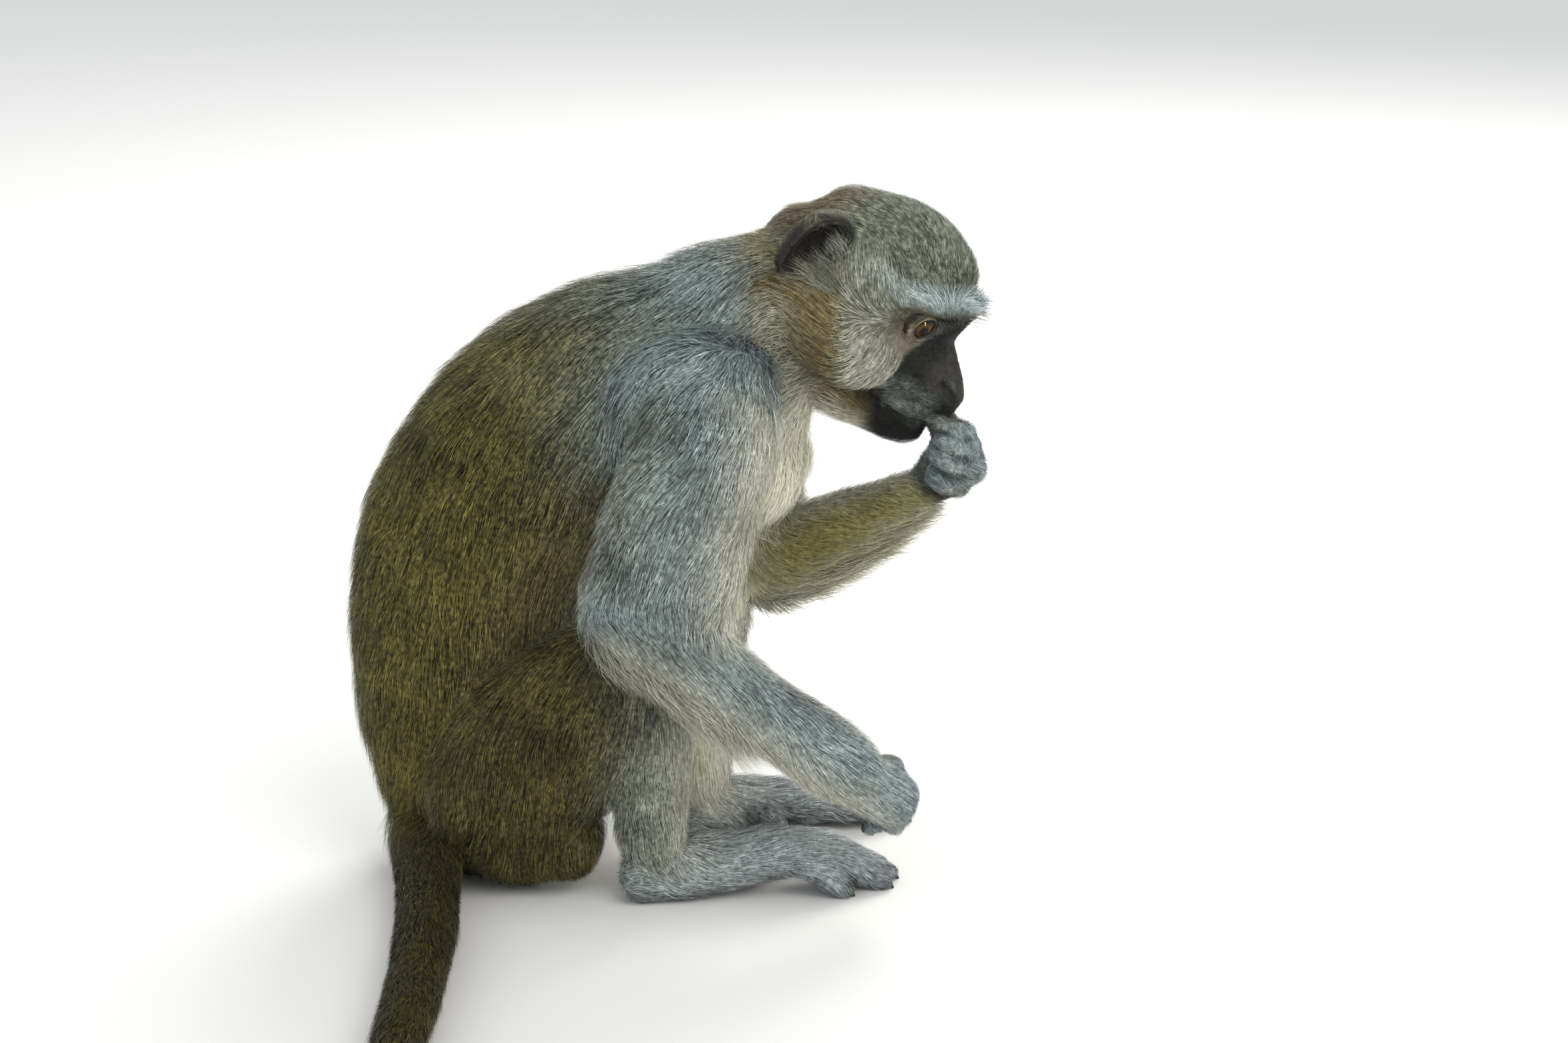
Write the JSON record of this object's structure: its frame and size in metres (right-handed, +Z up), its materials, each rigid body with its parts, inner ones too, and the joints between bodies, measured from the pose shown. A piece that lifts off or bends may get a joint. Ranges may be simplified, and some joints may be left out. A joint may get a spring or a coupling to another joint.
{
  "type": "vervet monkey model",
  "caption": "Life-size still model of a sitting vervet monkey, bent forward with one hand at its mouth, the other over its foot, and its long tail laid along the floor.",
  "frame": {"origin": "on the floor, on the midline under the seat", "axes": "+X the way the body faces, +Y the animal's left side, +Z up; the tail is laid along -Y"},
  "size_m": [0.3168, 0.6039, 0.3175],
  "materials": {
    "olive_fur": "short dense coat, grizzled olive and black",
    "grey_fur": "short dense coat, blue-grey with pale tips",
    "pale_fur": "soft pale grey to cream coat",
    "dark_skin": "bare black skin with fine creases",
    "eye": "wet amber-brown eye with a clear front"
  },
  "bodies": {
    "root": {"abdomen": "olive_fur", "chest": "grey_fur", "head": "olive_fur", "jaw": "dark_skin", "left_ear": "dark_skin", "left_eye": "eye", "left_fifth_toe": "grey_fur", "left_foot": "grey_fur", "left_forearm": "pale_fur", "left_fourth_toe": "grey_fur", "left_hallux": "dark_skin", "left_hand": "grey_fur", "left_index_finger": "grey_fur", "left_little_finger": "grey_fur", "left_middle_finger": "grey_fur", "left_ring_finger": "grey_fur", "left_second_toe": "grey_fur", "left_shin": "pale_fur", "left_thigh": "olive_fur", "left_third_toe": "grey_fur", "left_thumb": "grey_fur", "left_upper_arm": "grey_fur", "neck": "grey_fur", "right_ear": "dark_skin", "right_eye": "eye", "right_fifth_toe": "grey_fur", "right_foot": "grey_fur", "right_forearm": "pale_fur", "right_fourth_toe": "grey_fur", "right_hallux": "dark_skin", "right_hand": "grey_fur", "right_index_finger": "grey_fur", "right_little_finger": "grey_fur", "right_middle_finger": "grey_fur", "right_ring_finger": "grey_fur", "right_second_toe": "grey_fur", "right_shin": "pale_fur", "right_thigh": "olive_fur", "right_third_toe": "grey_fur", "right_thumb": "grey_fur", "right_upper_arm": "grey_fur", "rump": "olive_fur", "tail_1": "olive_fur", "tail_2": "olive_fur", "tail_3": "olive_fur", "tail_4": "olive_fur"}
  },
  "joints": []
}
